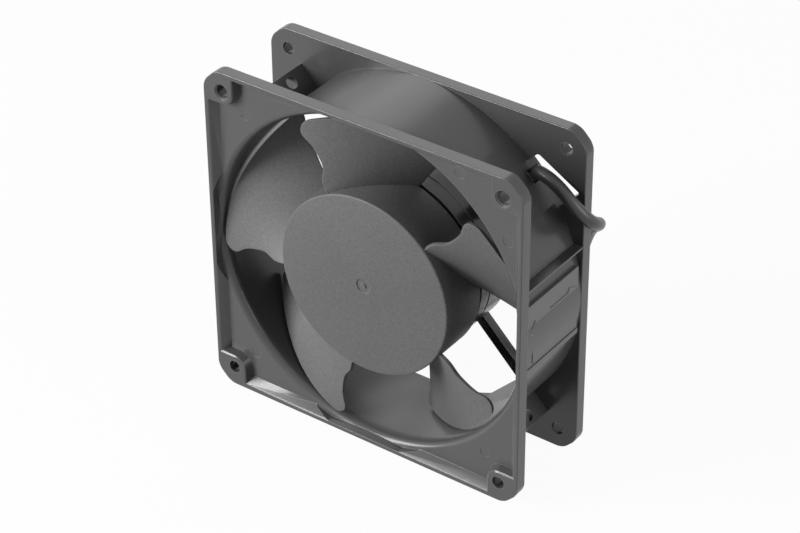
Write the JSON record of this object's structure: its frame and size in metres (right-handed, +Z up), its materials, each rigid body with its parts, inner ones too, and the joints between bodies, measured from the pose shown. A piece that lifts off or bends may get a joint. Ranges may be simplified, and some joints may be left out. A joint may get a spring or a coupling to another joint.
{
  "type": "axial cooling fan",
  "caption": "Square flanged axial cooling fan with an outside-rotor motor, wide curved blades and a black lead cable; the impeller turns freely inside the moulded housing.",
  "frame": {"origin": "on the surface the fan stands on, below the middle of the housing", "axes": "+Z up, -Y towards the air inlet and the hub's face, +Y towards the air outlet, +X right as seen from the inlet"},
  "size_m": [0.1249, 0.1026, 0.119],
  "materials": {
    "moulded_frame": "black glass-filled moulding, satin",
    "moulded_impeller": "black moulding, fine matte grain",
    "brass": "turned",
    "spring_steel": "bright",
    "bearing_steel": "ground",
    "lamination_steel": "stacked sheet edges",
    "cast_aluminium": "as cast",
    "copper": "enamelled",
    "bobbin_plastic": "moulded",
    "circuit_board": "lacquered",
    "core_insulation": "extruded",
    "tinned_wire": "tinned",
    "cable_sheath": "extruded, soft sheen"
  },
  "bodies": {
    "housing": {"front_flange": "moulded_frame", "rear_flange": "moulded_frame", "air_duct": "moulded_frame", "corner_webs": "moulded_frame", "motor_base": "moulded_frame", "bearing_tube": "brass", "disc_spring": "spring_steel", "front_outer_race": "bearing_steel", "rear_outer_race": "bearing_steel", "front_bearing_balls": "bearing_steel", "rear_bearing_balls": "bearing_steel", "stator_core": "lamination_steel", "shading_rings": "copper", "front_insulator": "bobbin_plastic", "rear_insulator": "bobbin_plastic", "stator_windings": "copper", "terminal_board": "circuit_board", "inner_leads": "core_insulation", "held_cable": "cable_sheath", "free_cable": "cable_sheath", "cable_cores": "core_insulation", "core_tips": "tinned_wire"},
    "rotor": {"impeller": "moulded_impeller", "shaft_insert": "brass", "rotor_shaft": "bearing_steel", "rotor_core": "lamination_steel", "rotor_cage": "cast_aluminium", "front_inner_race": "bearing_steel", "rear_inner_race": "bearing_steel", "thrust_washer": "spring_steel", "retaining_clip": "spring_steel"}
  },
  "joints": [
    {"name": "impeller_spin", "type": "hinge", "parent": "housing", "child": "rotor", "pos_m": [0, 0, 0.0595], "axis": [0, -1, 0], "continuous": true}
  ]
}
